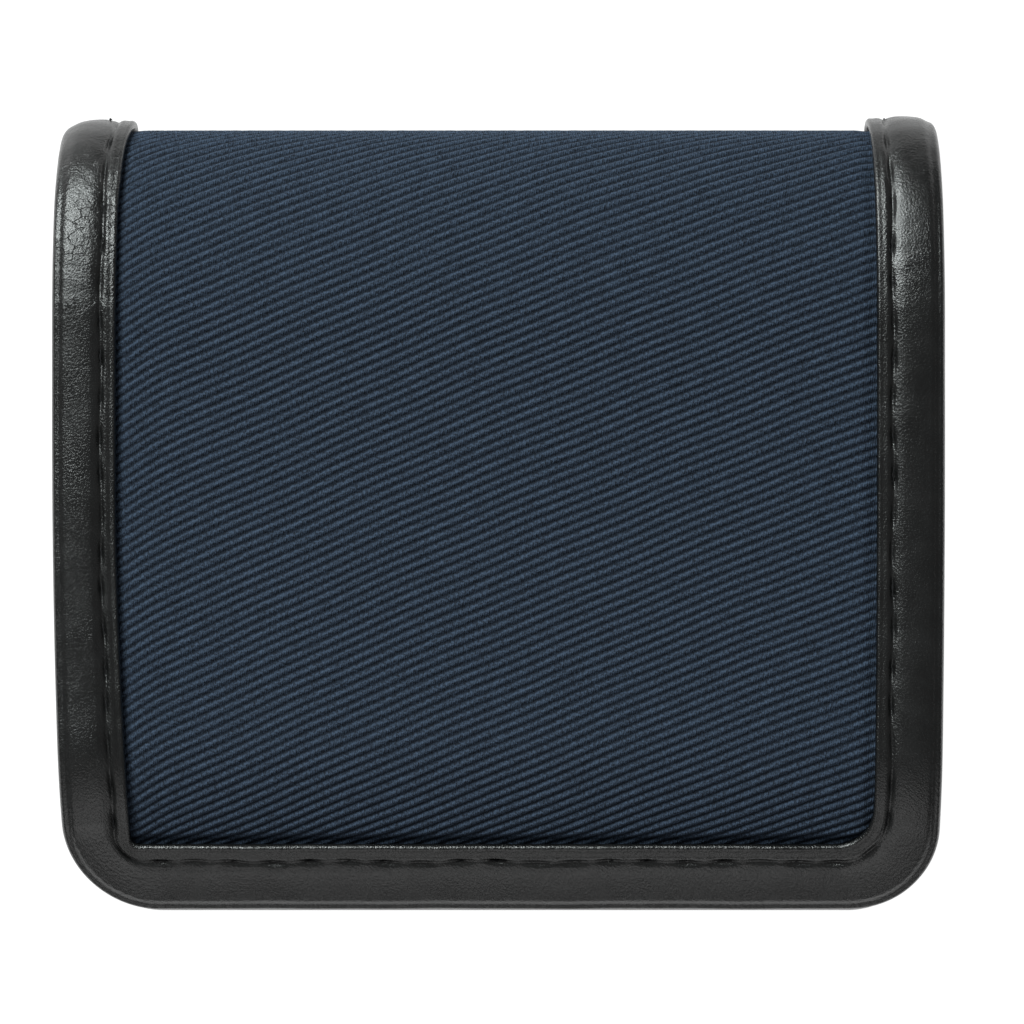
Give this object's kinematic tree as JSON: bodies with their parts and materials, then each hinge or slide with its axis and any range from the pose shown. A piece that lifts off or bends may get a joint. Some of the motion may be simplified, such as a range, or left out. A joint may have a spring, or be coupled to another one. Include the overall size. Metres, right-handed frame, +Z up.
{
  "type": "travel document organizer",
  "caption": "Fold-over travel document organizer with twill covers, leather binding, a soft curved spine, a passport pocket, card slots, a zip coin pocket and a pen loop.",
  "frame": {"origin": "centre of the bounding box's lowest face, on the surface that the back cover lies on", "axes": "+Z up, out of the front cover when closed; +Y towards the fold; +X to the right, along the spine"},
  "size_m": [0.146, 0.1324, 0.028],
  "materials": {
    "outer_fabric": "matt diagonal twill",
    "binding_leather": "semi-gloss grained",
    "lining_fabric": "matt plain weave",
    "board": "plain",
    "pocket_leather": "semi-matt grained",
    "elastic": "ribbed elastic",
    "zip_tape": "woven tape",
    "zip_metal": "dark nickel"
  },
  "bodies": {
    "back_half": {"back_outer_fabric": "outer_fabric", "back_board": "board", "back_lining": "lining_fabric", "back_binding": "binding_leather", "coin_pocket_gusset": "pocket_leather", "coin_pocket_panel": "pocket_leather", "zip_tape_lower": "zip_tape", "zip_tape_upper": "zip_tape", "zip_teeth_lower": "zip_metal", "zip_teeth_upper": "zip_metal", "zip_end_stops": "zip_metal", "card_slot_1": "pocket_leather", "card_slot_2": "pocket_leather", "card_slot_3": "pocket_leather", "small_pocket": "pocket_leather", "pen_loop": "elastic"},
    "spine_1": {"spine_fabric_1": "outer_fabric", "spine_lining_1": "lining_fabric", "spine_straps_1": "binding_leather"},
    "spine_2": {"spine_fabric_2": "outer_fabric", "spine_lining_2": "lining_fabric", "spine_straps_2": "binding_leather"},
    "front_half": {"front_outer_fabric": "outer_fabric", "front_board": "board", "front_lining": "lining_fabric", "front_binding": "binding_leather", "passport_pocket_gusset": "pocket_leather", "passport_pocket_panel": "pocket_leather", "ticket_sleeve": "pocket_leather"},
    "zip_slider": {"zip_slider": "zip_metal"},
    "zip_puller": {"zip_puller": "zip_metal"}
  },
  "joints": [
    {"name": "fold_1", "type": "hinge", "parent": "back_half", "child": "spine_1", "pos_m": [0, 0.05945, 0], "axis": [-1, 0, 0], "range_deg": [0, 53.71]},
    {"name": "fold_2", "type": "hinge", "parent": "spine_1", "child": "spine_2", "pos_m": [0, 0.06571, 0.01089], "axis": [-1, 0, 0], "range_deg": [0, 76.33]},
    {"name": "fold_3", "type": "hinge", "parent": "spine_2", "child": "front_half", "pos_m": [0, 0.05147, 0.02444], "axis": [-1, 0, 0], "range_deg": [0, 49.98]},
    {"name": "zip_travel", "type": "slide", "parent": "back_half", "child": "zip_slider", "axis": [1, 0, 0], "range_m": [0, 0.099]},
    {"name": "puller_swing", "type": "hinge", "parent": "zip_slider", "child": "zip_puller", "pos_m": [-0.0495, 0.037, 0.01175], "axis": [0, -1, 0], "range_deg": [0, 180]}
  ],
  "couplings": [
    {"joint": "fold_2", "follows": "fold_1", "ratio": 1.4209},
    {"joint": "fold_3", "follows": "fold_1", "ratio": 0.93022}
  ]
}
